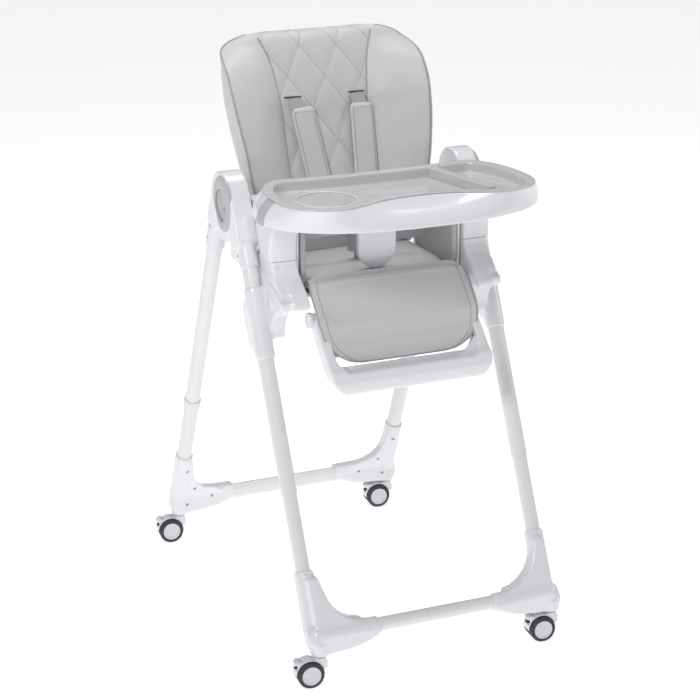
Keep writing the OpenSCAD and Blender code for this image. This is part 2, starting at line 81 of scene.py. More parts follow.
class Wire:
    # a socket that can be used in ordinary arithmetic
    def __init__(self, board, socket):
        self.board = board
        self.socket = socket

    def calc(self, operation, a, b):
        return self.board.add("ShaderNodeMath", {"operation": operation}, {0: a, 1: b})

    def __add__(self, other):
        return self.calc("ADD", self, other)

    def __radd__(self, other):
        return self.calc("ADD", other, self)

    def __sub__(self, other):
        return self.calc("SUBTRACT", self, other)

    def __rsub__(self, other):
        return self.calc("SUBTRACT", other, self)

    def __mul__(self, other):
        return self.calc("MULTIPLY", self, other)

    def __rmul__(self, other):
        return self.calc("MULTIPLY", other, self)

    def __pow__(self, other):
        return self.calc("POWER", self, other)

    def fold(self, size):
        return self.calc("PINGPONG", self, size)


class Board:
    # one material and its nodes
    def __init__(self, name):
        self.material = bpy.data.materials.new(name)
        self.material.use_nodes = True
        self.tree = self.material.node_tree
        self.tree.nodes.clear()
        self.place = self.add("ShaderNodeTexCoord", out="Object")

    def add(self, kind, settings=None, values=None, out=0):
        node = self.tree.nodes.new(kind)
        for key, value in (settings or {}).items():
            setattr(node, key, value)
        for key, value in (values or {}).items():
            if isinstance(value, Wire):
                self.tree.links.new(value.socket, node.inputs[key])
            else:
                node.inputs[key].default_value = value
        return Wire(self, node.outputs[out]) if node.outputs else None

    def mottle(self, scale, detail=3, rough=0.5):
        values = {"Vector": self.place, "Scale": scale, "Detail": detail, "Roughness": rough}
        return self.add("ShaderNodeTexNoise", {}, values, "Fac")

    def tint(self, low, high, share):
        values = {0: share, 6: (*low, 1), 7: (*high, 1)}
        return self.add("ShaderNodeMix", {"data_type": "RGBA"}, values, 2)

    def bump(self, height, strength, distance, under=None):
        values = {"Height": height, "Strength": strength, "Distance": distance}
        if under:
            values["Normal"] = under
        return self.add("ShaderNodeBump", {}, values, "Normal")

    def finish(self, values, constants):
        shader = self.add("ShaderNodeBsdfPrincipled", {}, {**constants, **values}, "BSDF")
        self.add("ShaderNodeOutputMaterial", {}, {"Surface": shader})
        return self.material


def mouldedPlastic(name, colour, shade, roughness, grain=0.05, coat=0.0):
    board = Board(name)
    flow = board.mottle(9)
    fine = board.mottle(1400, 2)
    rub = board.mottle(45, 4, 0.7)
    normal = board.bump(fine, grain, 0.0002, board.bump(flow, 0.04, 0.004))
    return board.finish(
        {
            "Base Color": board.tint(colour, shade, flow * 0.6 + rub * 0.3),
            "Roughness": roughness - 0.05 + rub * 0.1,
            "Normal": normal,
        },
        {"Coat Weight": coat, "Coat Roughness": 0.12, "IOR": 1.5},
    )


def coatedSteel(name, colour, shade):
    board = Board(name)
    peel = board.mottle(420, 2)
    rub = board.mottle(25, 4, 0.65)
    return board.finish(
        {
            "Base Color": board.tint(colour, shade, rub),
            "Roughness": 0.24 + rub * 0.12,
            "Normal": board.bump(peel, 0.05, 0.0004),
        },
        {"Coat Weight": 0.5, "Coat Roughness": 0.1, "IOR": 1.5},
    )


def coatedFabric(name, colour, shade, grainSize=0.0013, roughness=0.46, soft=0.12):
    # leather-look fabric: pebbled cells, finer pores and slow changes of tone
    board = Board(name)
    warp = board.mottle(300, 2)
    values = {"Vector": board.place, "Scale": 1 / grainSize, "Randomness": 1.0}
    cells = board.add("ShaderNodeTexVoronoi", {"feature": "DISTANCE_TO_EDGE"}, values, "Distance")
    pebble = (cells * 3 + warp * 0.4) ** 0.6
    tone = board.mottle(14, 4, 0.6)
    crease = board.mottle(38, 5, 0.55)
    normal = board.bump(pebble, 0.16, 0.00022, board.bump(crease, soft, 0.004))
    return board.finish(
        {
            "Base Color": board.tint(colour, shade, tone * 0.7 + (1 - pebble) * 0.25),
            "Roughness": roughness + tone * 0.1 - pebble * 0.06,
            "Normal": normal,
        },
        {"Sheen Weight": 0.12, "Sheen Roughness": 0.5, "IOR": 1.45},
    )


def wovenWebbing(name, colour, shade, pitch=0.0014):
    board = Board(name)
    x, y, z = (board.add("ShaderNodeSeparateXYZ", {}, {0: board.place}, axis) for axis in "XYZ")
    fine = pitch * 0.7
    rib = (z + x * 0.35).fold(pitch) * (1 / pitch)
    thread = (x - z * 0.35 + y * 0.2).fold(fine) * (1 / fine)
    weave = rib * 0.6 + thread * 0.4
    return board.finish(
        {
            "Base Color": board.tint(shade, colour, weave),
            "Roughness": 0.8 - weave * 0.1,
            "Normal": board.bump(weave, 0.5, 0.0004),
        },
        {"Sheen Weight": 0.25, "IOR": 1.45},
    )


def softRubber(name, colour, shade):
    board = Board(name)
    dust = board.mottle(120, 4, 0.7)
    return board.finish(
        {
            "Base Color": board.tint(colour, shade, dust),
            "Roughness": 0.55 + dust * 0.2,
            "Normal": board.bump(board.mottle(900, 2), 0.12, 0.0002),
        },
        {"IOR": 1.5},
    )


def brushedMetal(name, colour):
    board = Board(name)
    streak = board.mottle(240, 3, 0.7)
    shade = tuple(c * 0.75 for c in colour)
    return board.finish(
        {"Base Color": board.tint(colour, shade, streak), "Roughness": 0.26 + streak * 0.2}, {"Metallic": 1.0}
    )


finish = {
    "white": mouldedPlastic("white plastic", (0.75, 0.755, 0.785), (0.71, 0.715, 0.75), 0.3, coat=0.25),
    "gloss": mouldedPlastic(
        "gloss white plastic", (0.77, 0.775, 0.805), (0.74, 0.745, 0.78), 0.17, 0.03, 0.5
    ),
    "trim": mouldedPlastic("grey trim", (0.48, 0.485, 0.50), (0.45, 0.455, 0.47), 0.38, 0.1),
    "liner": mouldedPlastic("grey liner", (0.60, 0.605, 0.615), (0.57, 0.575, 0.585), 0.26, 0.03, 0.3),
    "deck": mouldedPlastic("polished liner deck", (0.60, 0.61, 0.60), (0.57, 0.58, 0.57), 0.06, 0.01, 1.0),
    "cap": mouldedPlastic("wheel cap", (0.66, 0.66, 0.69), (0.62, 0.62, 0.66), 0.34),
    "paint": coatedSteel("leg paint", (0.76, 0.77, 0.755), (0.72, 0.73, 0.715)),
    "hide": coatedFabric("back leather", (0.60, 0.605, 0.605), (0.555, 0.56, 0.56)),
    "panel": coatedFabric("panel leather", (0.60, 0.60, 0.585), (0.555, 0.555, 0.54)),
    "flap": coatedFabric("seat leather", (0.57, 0.575, 0.57), (0.53, 0.535, 0.53)),
    "piping": coatedFabric("piping", (0.40, 0.40, 0.395), (0.34, 0.34, 0.335), 0.0009),
    # side pads: the seat's grey fabric painted darker, as painted shade for the shadow they sit in
    "lining": coatedFabric("side pad painted shade", (0.46, 0.465, 0.46), (0.42, 0.425, 0.42), 0.0015, 0.55),
    "thread": wovenWebbing("thread", (0.68, 0.69, 0.68), (0.4, 0.41, 0.4), 0.0006),
    "webbing": wovenWebbing("webbing", (0.46, 0.47, 0.46), (0.30, 0.31, 0.30)),
    "rubber": softRubber("tyre rubber", (0.022, 0.03, 0.042), (0.045, 0.052, 0.062)),
    "steel": brushedMetal("screw steel", (0.45, 0.46, 0.5)),
    # near-black finish used only as painted shade: it stands for the shadow inside screw slots and strap
    # slits
    "dark": mouldedPlastic("painted slot shade", (0.06, 0.062, 0.068), (0.05, 0.05, 0.055), 0.4, 0.1),
}
print("materials made")


# mesh making


def at(x, y, z):
    # a place given in millimetres
    return x * mm, y * mm, z * mm


def meshObject(name, verts, faces, material=None, smooth=True):
    mesh = bpy.data.meshes.new(name)
    mesh.from_pydata([tuple(v) for v in verts], [], faces)
    mesh.validate()
    if smooth:
        mesh.shade_smooth()
    obj = bpy.data.objects.new(name, mesh)
    scene.collection.objects.link(obj)
    if material:
        mesh.materials.append(finish[material])
    return obj


def settle(obj):
    # turn an object's modifiers into its mesh
    graph = bpy.context.evaluated_depsgraph_get()
    mesh = bpy.data.meshes.new_from_object(obj.evaluated_get(graph))
    obj.modifiers.clear()
    old = obj.data
    obj.data = mesh
    bpy.data.meshes.remove(old)


def outward(mesh, weld=False):
    # turns every face to look out of its solid
    bm = bmesh.new()
    bm.from_mesh(mesh)
    if weld:
        bmesh.ops.remove_doubles(bm, verts=bm.verts, dist=1e-6)
    bmesh.ops.recalc_face_normals(bm, faces=bm.faces)
    bm.to_mesh(mesh)
    bm.free()


def gathered(parts):
    verts, faces = [], []
    for v, f in parts:
        faces += [tuple(i + len(verts) for i in face) for face in f]
        verts += [tuple(p) for p in v]
    return verts, faces


def across(direction):
    # two directions square to the one given
    d = Vector(direction).normalized()
    side = d.cross(Vector((0, 0, 1)) if abs(d.z) < 0.9 else Vector((0, 1, 0))).normalized()
    return side, d.cross(side)


def rod(a, b, r0, r1=None, sides=40):
    a, b = Vector(a), Vector(b)
    r1 = r0 if r1 is None else r1
    u, v = across(b - a)
    verts = []
    for centre, r in ((a, r0), (b, r1)):
        for i in range(sides):
            t = 2 * math.pi * i / sides
            verts.append(centre + (u * math.cos(t) + v * math.sin(t)) * r)
    faces = [(i, (i + 1) % sides, sides + (i + 1) % sides, sides + i) for i in range(sides)]
    faces += [tuple(range(sides - 1, -1, -1)), tuple(range(sides, 2 * sides))]
    return verts, faces


def ball(centre, radii, rings=14, sides=28):
    verts, faces = [], []
    for j in range(1, rings):
        t = math.pi * j / rings
        for i in range(sides):
            p = 2 * math.pi * i / sides
            offset = (math.sin(t) * math.cos(p), math.sin(t) * math.sin(p), math.cos(t))
            verts.append([centre[k] + radii[k] * offset[k] for k in range(3)])
    for j in range(rings - 2):
        for i in range(sides):
            a, b = j * sides + i, j * sides + (i + 1) % sides
            faces.append((a, a + sides, b + sides, b))
    verts.append([centre[0], centre[1], centre[2] + radii[2]])
    verts.append([centre[0], centre[1], centre[2] - radii[2]])
    top, low = len(verts) - 2, len(verts) - 1
    last = (rings - 2) * sides
    for i in range(sides):
        faces.append((top, i, (i + 1) % sides))
        faces.append((low, last + (i + 1) % sides, last + i))
    return verts, faces


def slab(outline, low, high, axis="x", shear=0.0, pivot=0.0):
    # a flat outline given depth along an axis; shear leans a front view plate back as it rises
    n = len(outline)
    verts = []
    for depth in (low, high):
        for a, b in outline:
            if axis == "x":
                verts.append((depth * mm, a * mm, b * mm))
            elif axis == "y":
                verts.append((a * mm, (depth + (b - pivot) * shear) * mm, b * mm))
            else:
                verts.append((a * mm, b * mm, depth * mm))
    faces = [(i, (i + 1) % n, n + (i + 1) % n, n + i) for i in range(n)]
    faces += [tuple(range(n - 1, -1, -1)), tuple(range(n, 2 * n))]
    return verts, faces


def roundOff(obj, voxel, smooth):
    # rebuilds a closed piece on an even grid and softens its corners
    grid = obj.modifiers.new("grid", "REMESH")
    grid.mode = "VOXEL"
    grid.voxel_size = voxel * mm
    even = obj.modifiers.new("even", "SMOOTH")
    even.factor = 0.5
    even.iterations = smooth
    settle(obj)


def cast(name, solids, material, voxel=2.4, smooth=6, cuts=(), trims=()):
    # closed solids run together into one casting with soft corners, then cut
    obj = meshObject(name, *gathered(solids), material)
    outward(obj.data)
    roundOff(obj, voxel, smooth)
    if not obj.data.materials:
        obj.data.materials.append(finish[material])
    for cut in cuts:
        carve(obj, cut)
    for point, normal in trims:
        trim(obj, point, normal)
    obj.data.shade_smooth()
    return obj


def carve(obj, solid):
    tool = meshObject("tool", *solid, smooth=False)
    outward(tool.data)
    cut = obj.modifiers.new("cut", "BOOLEAN")
    cut.operation = "DIFFERENCE"
    cut.solver = "EXACT"
    cut.object = tool
    settle(obj)
    bpy.data.objects.remove(tool)


def trim(obj, point, normal):
    # flat cut that drops what lies beyond the plane
    bm = bmesh.new()
    bm.from_mesh(obj.data)
    whole = bm.verts[:] + bm.edges[:] + bm.faces[:]
    cut = bmesh.ops.bisect_plane(
        bm, geom=whole, dist=1e-6, plane_co=at(*point), plane_no=normal, clear_outer=True
    )
    rim = [e for e in cut["geom_cut"] if isinstance(e, bmesh.types.BMEdge)]
    bmesh.ops.holes_fill(bm, edges=rim, sides=0)
    bm.to_mesh(obj.data)
    bm.free()


def hardEdges(obj, angle=35):
    # keeps cut rims crisp on a smooth casting
    for edge in obj.data.edges:
        edge.use_edge_sharp = False
    bm = bmesh.new()
    bm.from_mesh(obj.data)
    for edge in bm.edges:
        if len(edge.link_faces) == 2 and edge.calc_face_angle(0) > math.radians(angle):
            edge.smooth = False
    bm.to_mesh(obj.data)
    bm.free()


def mirrored(obj, name):
    mesh = obj.data.copy()
    mesh.transform(Matrix.Scale(-1, 4, (1, 0, 0)))
    mesh.flip_normals()
    twin = bpy.data.objects.new(name, mesh)
    scene.collection.objects.link(twin)
    return twin


def place(obj, body, *stands):
    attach(obj, body)
    if stands:
        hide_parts(*stands)
    return obj


def bothSides(obj, base, body, node=None):
    # the piece is made on the right and mirrored to the left; a side is added to each name that takes one
    twin = mirrored(obj, base + "Left")
    obj.name = base + "Right"
    for piece, side in ((obj, "right"), (twin, "left")):
        hardEdges(piece)
        place(piece, body.format(side), *([node.format(side)] if node else []))
    return obj, twin


def closeLoop(points, passes=2):
    # rounds a closed outline by cutting its corners
    for _ in range(passes):
        cut = []
        for a, b in zip(points, points[1:] + points[:1]):
            cut.append([p * 0.75 + q * 0.25 for p, q in zip(a, b)])
            cut.append([p * 0.25 + q * 0.75 for p, q in zip(a, b)])
        points = cut
    return points


def spline(points, steps):
    # a smooth open line through the points
    pts = [Vector(p) for p in points]
    pts = [pts[0] * 2 - pts[1]] + pts + [pts[-1] * 2 - pts[-2]]
    line = []
    for k in range(1, len(pts) - 2):
        a, b, c, d = pts[k - 1 : k + 3]
        for i in range(steps):
            t = i / steps
            p = 2 * b + (c - a) * t + (2 * a - 5 * b + 4 * c - d) * t**2 + (3 * b - a - 3 * c + d) * t**3
            line.append(p * 0.5)
    line.append(pts[-2])
    return line


def smoothTable(table):
    # finer steps along a curve through a table's pairs
    return [(q.x, q.y) for q in spline([(a, b, 0) for a, b in table], 6)]


def between(table, where):
    # reads a table of pairs at any place
    for (a, p), (b, q) in zip(table, table[1:]):
        if where <= b:
            share = min(max((where - a) / (b - a), 0), 1)
            return p * (1 - share) + q * share
    return table[-1][1]


def tube(name, points, radius, material, closed=False):
    curve = bpy.data.curves.new(name, "CURVE")
    curve.dimensions = "3D"
    curve.bevel_depth = radius
    curve.bevel_resolution = 3
    line = curve.splines.new("POLY")
    line.points.add(len(points) - 1)
    for spot, p in zip(line.points, points):
        spot.co = (*p, 1)
    line.use_cyclic_u = closed
    curve.use_fill_caps = True
    obj = bpy.data.objects.new(name, curve)
    scene.collection.objects.link(obj)
    graph = bpy.context.evaluated_depsgraph_get()
    mesh = bpy.data.meshes.new_from_object(obj.evaluated_get(graph))
    bpy.data.objects.remove(obj)
    mesh.materials.clear()
    mesh.materials.append(finish[material])
    mesh.shade_smooth()
    made = bpy.data.objects.new(name, mesh)
    scene.collection.objects.link(made)
    return made


def lathe(profile, centre, axis, sides=56):
    # radius, distance pairs turned about an axis
    u, v = across(axis)
    d = Vector(axis).normalized()
    verts, faces = [], []
    for r, h in profile:
        for i in range(sides):
            t = 2 * math.pi * i / sides
            verts.append(Vector(centre) + (u * math.cos(t) + v * math.sin(t)) * r * mm + d * h * mm)
    for j in range(len(profile) - 1):
        for i in range(sides):
            a, b = j * sides + i, j * sides + (i + 1) % sides
            faces.append((a, b, b + sides, a + sides))
    return verts, faces


def egg(a, ra, b, rb, steps=14):
    # outline round two circles
    (ay, az), (by, bz) = a, b
    d = math.hypot(by - ay, bz - az)
    heading = math.atan2(bz - az, by - ay)
    half = math.acos((ra - rb) / d)
    line = []
    for i in range(2 * steps + 1):
        t = heading + half + (2 * math.pi - 2 * half) * i / (2 * steps)
        line.append((ay + ra * math.cos(t), az + ra * math.sin(t)))
    for i in range(2 * steps + 1):
        t = heading - half + 2 * half * i / (2 * steps)
        line.append((by + rb * math.cos(t), bz + rb * math.sin(t)))
    return line


# leg geometry shared by everything that sits on the legs

legs = {"frontY": -372, "rearY": 399, "base": 34, "frontLean": 25.1, "rearLean": 22.2}
frontLean, rearLean = math.radians(legs["frontLean"]), math.radians(legs["rearLean"])
frontSin, frontCos = math.sin(frontLean), math.cos(frontLean)
rearSin, rearCos = math.sin(rearLean), math.cos(rearLean)


def onFront(t, off=0.0, x=240.0):
    # t mm up the right front leg, off mm behind its axis
    y = legs["frontY"] + t * frontSin + off * frontCos
    z = legs["base"] + t * frontCos - off * frontSin
    return Vector((x, y, z)) * mm


def onRear(t, off=0.0, x=240.0):
    y = legs["rearY"] - t * rearSin + off * rearCos
    z = legs["base"] + t * rearCos + off * rearSin
    return Vector((x, y, z)) * mm


def yz(p):
    # a place seen from the side, in millimetres
    return p[1] / mm, p[2] / mm


for name in ("front_tube_upper_{}", "front_tube_lower_{}", "rear_tube_{}"):
    for side in ("left", "right"):
        nodes[name.format(side)].data.materials[0] = finish["paint"]
for name in ("front_crossbar", "rear_crossbar"):
    nodes[name].data.materials[0] = finish["paint"]
nodes["fold_pins"].data.materials[0] = finish["steel"]
nodes["tray_hooks"].data.materials[0] = finish["white"]
for side in ("left", "right"):
    nodes["rear_socket_" + side].data.materials[0] = finish["white"]
    nodes["fold_trigger_" + side].data.materials[0] = finish["trim"]

# feet

frontFoot = {
    "top": 175,
    "bar": (-366, 91),
    "voxel": 2.2,
    "corner": [(246, 94), (246, 190), (224, 190), (219, 172), (212, 152), (201, 134), (186, 121), (168, 112),
               (148, 107), (140, 94)],
    "belly": [(257, 92), (258, 74), (250, 60), (236, 57), (196, 59), (158, 64), (134, 74), (119, 82),
              (117, 92)],
}


def makeFrontFoot(f):
    barY, barZ = f["bar"]
    solids = [
        rod(onFront(48), onFront(f["top"]), 19.5 * mm, 18.8 * mm),
        rod(at(117.5, barY, barZ - 1), at(238, barY, barZ - 3), 17.5 * mm, 20 * mm),
        slab(f["corner"], barY - 15, barY + 16, "y", frontSin / frontCos, barZ),
        slab(closeLoop(f["belly"], 1), barY - 19, barY + 18, "y"),
        ball(at(240, barY + 2, 82), at(22, 23, 28)),
        rod(at(240, -373, 56), at(240, -373, 80), 17 * mm),
    ]
    foot = cast("footFront", solids, "gloss", f["voxel"], 24)
    return bothSides(foot, "footFront", "front_frame", "front_foot_{}")


makeFrontFoot(frontFoot)

rearFoot = {
    "top": 184,
    "bar": (374, 87),
    "voxel": 2.2,
    "corner": [(250, 90), (250, 186), (223, 186), (220, 160), (214, 140), (203, 126), (186, 116), (160, 110),
               (140, 92)],
    "belly": [(258, 90), (260, 74), (252, 60), (238, 57), (196, 60), (160, 64), (138, 71), (121, 80),
              (117, 90),
              (117.5, 106), (140, 107), (180, 108), (240, 112)],
    "screws": [(226, 78), (170, 90), (212, 116), (236, 166)],
}


def makeRearFoot(f):
    barY, barZ = f["bar"]
    solids = [
        rod(onRear(50), onRear(f["top"]), 20 * mm, 18.8 * mm),
        slab(f["corner"], barY - 13, barY + 13, "y", -rearSin / rearCos, barZ),
        slab(f["belly"], barY - 15, barY + 15, "y"),
        ball(at(240, barY + 4, 80), at(21, 20, 24)),
        rod(at(240, 373, 56), at(240, 373, 80), 17 * mm),
    ]
    foot = cast("footRear", solids, "gloss", f["voxel"], 14)
    return bothSides(foot, "footRear", "rear_frame", "rear_foot_{}")


rightFoot, leftFoot = makeRearFoot(rearFoot)


def nearest(obj, start, direction):
    # where a ray first meets a piece
    hit, point, normal, _ = obj.ray_cast(Vector(start), Vector(direction))
    return (point, normal) if hit else (Vector(start), -Vector(direction))


def slottedScrews(name, skin, spots, direction, body, node=None, radius=3.2, sides=20):
    # low domed heads on a piece's skin, each with a flat dark patch for its slot: painted shade standing in
    # for the slot's recess
    verts, faces, slotShadeFaces = [], [], []
    for spot in spots:
        foot, normal = nearest(skin, at(*spot), direction)
        u, v = across(normal)
        n = normal.normalized()
        base = len(verts)
        for level, r in ((0.1, radius), (0.5, radius * 0.96), (0.8, radius * 0.8)):
            for i in range(sides):
                t = 2 * math.pi * i / sides
                verts.append(foot + (u * math.cos(t) + v * math.sin(t)) * r * mm + n * level * mm)
        for ring in (base, base + sides):
            for i in range(sides):
                a, b = ring + i, ring + (i + 1) % sides
                faces.append((a, b, b + sides, a + sides))
        faces.append(tuple(base + 2 * sides + i for i in range(sides)))
        # the slot patch: painted shade laid over the head where the slot's recess would be
        for s, d in ((-1, -1), (1, -1), (1, 1), (-1, 1)):
            along = (u * 0.94 + v * 0.34) * s * radius * 0.85
            aside = (v * 0.94 - u * 0.34) * d * 0.55
            verts.append(foot + along * mm + aside * mm + n * 0.95 * mm)
        slotShadeFaces.append(len(faces))
        faces.append(tuple(range(len(verts) - 4, len(verts))))
    screws = meshObject(name, verts, faces, "steel", smooth=False)
    screws.data.materials.append(finish["dark"])
    for i in slotShadeFaces:
        screws.data.polygons[i].material_index = 1
    return place(screws, body, *([node] if node else []))


bpy.context.view_layer.update()
for name, skin, sign, cadNode in (
    ("footScrewsRight", rightFoot, 1, "foot_screws"),
    ("footScrewsLeft", leftFoot, -1, None),
):
    screwSpots = [(sign * x, 250, z) for x, z in rearFoot["screws"]]
    slottedScrews(name, skin, screwSpots, (0, 1, 0), "rear_frame", cadNode)
print("feet made")

# casters

caster = {
    "turn": -6,
    "axle": (-21, 25),
    "hood": 27.8,
    "pin": (-41, 46),
    "tread": [(18, 4), (24, 4), (25, 5.2), (25, 18), (24, 19.6), (21.5, 20.2), (18, 20.2), (18, 4)],
    "cap": [(17.9, 5), (17.9, 20.6), (17.2, 21), (15.8, 21), (15.2, 20.3), (13, 20), (7, 20.4), (0.01, 20.5)],
    "spots": {
        "front_left": (-240, -373),
        "front_right": (240, -373),
        "rear_left": (-240, 373),
        "rear_right": (240, 373),
    },
}


def joined(name, parts, material):
    obj = meshObject(name, *gathered(parts), material)
    outward(obj.data, weld=True)
    hardEdges(obj, 50)
    return obj


def makeCaster(c):
    (axleX, axleZ), (pinX, pinZ) = c["axle"], c["pin"]

    def axle(y0, y1, r):
        return rod(at(axleX, y0, axleZ), at(axleX, y1, axleZ), r * mm)

    def pin(y0, y1, r):
        return rod(at(pinX, y0, pinZ), at(pinX, y1, pinZ), r * mm)

    turns = [math.radians(a) for a in range(-22, 186, 8)]
    hood = [(axleX + c["hood"] * math.cos(t), axleZ + c["hood"] * math.sin(t)) for t in turns]
    hood += [(-46, 20), (-46, 26), (-21, 36), (4, 24)]
    fork = cast(
        "casterFork",
        [
            slab(hood, -13, 13, "y"),
            rod(at(0, 0, 34), at(0, 0, 54.5), 13 * mm, 12.5 * mm),
            slab([(-16, 34), (12, 34), (12, 48), (-4, 52), (-16, 50)], -12.5, 12.5, "y"),
            pin(-13, 13, 5.4),
        ],
        "gloss",
        1.3,
        4,
        cuts=[
            axle(3, 30, 26.3),
            axle(-30, -3, 26.3),
            slab([(-64, 33), (-36, 33), (-36, 60), (-64, 60)], -9.6, 9.6, "y"),
        ],
    )
    hardEdges(fork)
    stem = meshObject("casterStem", *rod(at(0, 0, 50), at(0, 0, 62), 5 * mm), "steel")
    tyreParts, capParts = [], []
    for s in (-1, 1):
        tyreParts.append(lathe([(r, s * h) for r, h in c["tread"]], at(axleX, 0, axleZ), (0, 1, 0)))
        capParts.append(lathe([(r, s * h) for r, h in c["cap"]], at(axleX, 0, axleZ), (0, 1, 0)))
    tyres = joined("casterTyres", tyreParts, "rubber")
    caps = joined("casterCaps", capParts + [axle(-18, 18, 3)], "cap")
    plate = slab([(-49.5, 43), (-49.5, 49), (-46, 50.5), (-40, 50), (-40, 44)], -9, 9, "y")
    pedal = cast("casterPedal", [pin(-9.2, 9.2, 4.2), plate], "white", 1.0, 3, cuts=[axle(-20, 20, 27)])
    return {"fork": fork, "stem": stem, "tyres": tyres, "caps": caps, "pedal": pedal}


casterParts = makeCaster(caster)
owners = {
    "fork": "caster_",
    "stem": "caster_",
    "tyres": "wheels_",
    "caps": "wheels_",
    "pedal": "brake_pedal_",
}
cadNames = {"fork": "caster_fork_", "tyres": "tyres_", "caps": "wheel_centres_", "pedal": "brake_pedal_"}
for where, (x, y) in caster["spots"].items():
    move = Matrix.Translation(at(x, y, 0)) @ Matrix.Rotation(math.radians(caster["turn"]), 4, "Z")
    for key, source in casterParts.items():
        piece = bpy.data.objects.new("caster_" + key + "_" + where, source.data.copy())
        scene.collection.objects.link(piece)
        piece.data.transform(move)
        place(piece, owners[key] + where, *([cadNames[key] + where] if key in cadNames else []))
for source in casterParts.values():
    bpy.data.objects.remove(source)
print("casters made")

# hubs

hub = {
    "head": ((38, 825), 48.5),
    "hole": (((33, 816), 25), ((26, 802), 21)),
    "ring": (((25, 828), 40), ((20, 791), 29)),
    "pin": (42, 857),
    "arc": 117,
    "brow": [(0.0, 259.2), (0.0, 262.6), (0.06, 263.9), (0.2, 264.6), (0.55, 264.8), (0.9, 264.0),
             (0.99, 262.4),
             (1.0, 259.2)],
}


def makeHub(h):
    headAt, headR = h["head"]
    front, rear = yz(onFront(800)), yz(onRear(785))
    web = [headAt, yz(onFront(752)), yz(onRear(735))]
    pinY, pinZ = h["pin"]
    solids = [
        slab(egg(headAt, headR, front, 18.5), 219, 261),
        slab(egg(headAt, headR, rear, 18.5), 221.5, 258.5),
        slab(web, 224, 256),
        rod(onFront(745), onFront(835), 18.8 * mm),
        rod(onRear(740), onRear(840), 18.5 * mm),
    ]
    body = cast("hub", solids, "gloss", 2.2, 8)
    # room for the rear sockets to swing round the fold pins
    turns = [math.radians(a) for a in range(-112, -12, 4)]
    sweep = [(pinY + h["arc"] * math.cos(t), pinZ + h["arc"] * math.sin(t)) for t in turns]
    carve(body, slab(sweep + [(330, 840), (330, 600), (sweep[0][0] - 1, 600)], 190, 290))
    (ha, hra), (hb, hrb) = h["hole"]
    carve(body, slab(egg(ha, hra, hb, hrb), 200, 280))
    slot = [yz(onFront(650, 19)), yz(onFront(870, 19)), (24, 864), (60, 866), (74, 850), (80, 828)]
    slot += [yz(onRear(800, 13)), yz(onRear(700, 13))]
    carve(body, slab(slot, 232, 248))
    carve(body, slab([(15, 799), (51, 799), (51, 864), (15, 864)], 249, 259))
    carve(body, rod(onFront(700), onFront(821), 15.55 * mm))
    return bothSides(body, "hub", "front_frame", "hub_shell_{}")


makeHub(hub)


def makeHubRings(h):
    # raised grey surround of each finger hole
    (ha, hra), (hb, hrb) = h["hole"]
    (ra, rra), (rb, rrb) = h["ring"]
    inner, outer = egg(ha, hra, hb, hrb), egg(ra, rra, rb, rrb)
    n, m = len(inner), len(h["brow"])
    verts, faces = [], []
    for share, x in h["brow"]:
        for (innerY, innerZ), (outerY, outerZ) in zip(inner, outer):
            verts.append(at(x, innerY * (1 - share) + outerY * share, innerZ * (1 - share) + outerZ * share))
    for j in range(m):
        for i in range(n):
            a, b = j * n + i, j * n + (i + 1) % n
            c, d = ((j + 1) % m) * n + (i + 1) % n, ((j + 1) % m) * n + i
            faces.append((a, b, c, d))
    right, _ = bothSides(joined("hubRing", [(verts, faces)], "trim"), "hubRing", "front_frame")
    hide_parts("hub_rings")


makeHubRings(hub)
bpy.context.view_layer.update()
for name, spot, body in (
    ("hubScrews", onFront(770, 2), "front_frame"),
    ("socketScrew", onRear(748, 2), "rear_frame"),
):
    for side, sign in (("Right", 1), ("Left", -1)):
        onHub = body == "front_frame"
        skin = bpy.data.objects["hub" + side] if onHub else nodes["rear_socket_" + side.lower()]
        slottedScrews(name + side, skin, [(sign * 300, *yz(spot))], (-sign, 0, 0), body, radius=2.6)
print("hubs made")

# sliders with the seat's cheeks, and the arms on them

cheek = {
    "seam": 733,
    "outline": [
        (-40, 733), (-42, 657), (-128, 651), (-172, 651), (-185, 656), (-184, 665), (-162, 688), (-137, 706),
        (-124, 722), (-121, 740), (-40, 740),
    ],
    "bracket": [
        (-84, 586), (-121, 586), (-123, 604), (-128, 620), (-136, 633), (-147, 643), (-162, 650), (-176, 653),
        (-176, 668), (-120, 690), (-70, 700), (-62, 640),
    ],
    "front": [
        (-20, 748), (-34, 690), (-58, 652), (-132, 649), (-162, 652), (-164, 682), (-136, 705), (-124, 722),
        (-121, 748),
    ],
    "bulge": [(585, 8), (593, 27), (606, 35), (641, 38), (676, 35), (689, 27), (697, 8)],
}


def makeSlider(c):
    solids = [
        rod(onFront(571), onFront(707), 19 * mm),
        slab([yz(onFront(t, off)) for t, off in c["bulge"]], 224, 256),
        slab(c["bracket"], 196, 226),
        slab(c["outline"], 171, 205),
        slab(c["front"], 172, 222),
        ball(at(214, -122, 655), at(16, 26, 20)),
    ]
    body = cast("slider", solids, "gloss", 2.4, 16, trims=[((0, 0, c["seam"] - 0.4), (0, 0, 1))])
    carve(body, rod(onFront(540), onFront(730), 15.85 * mm))
    return bothSides(body, "slider", "seat", "slider_{}")


makeSlider(cheek)


def makeArm(c):
    front = [(-121, 725), (-120, 745), (-122, 772), (-136, 802)]
    upper = [(-148, 834), (12, 834), (12, 800), (-18, 774), (-38, 745), (-38, 725)] + front
    outer = [(-146, 830), (-40, 830), yz(onFront(800, -24)), yz(onFront(762, -24)), (-70, 725), (-120, 725)]
    solids = [slab(upper, 171, 217), slab(closeLoop(outer + front[1:], 1), 205, 226)]
    ends = [((0, 0, c["seam"]), (0, 0, -1)), ((0, 0, 829), (0, 0, 1))]
    body = cast("arm", solids, "gloss", 2.4, 16, trims=ends)
    return bothSides(body, "arm", "seat", "arm_{}")


makeArm(cheek)


heightButton = {
    "face": [(610, 28), (610, 36), (615, 39.5), (657, 39.5), (662, 36), (662, 28)],
    "x": (233, 247),
}


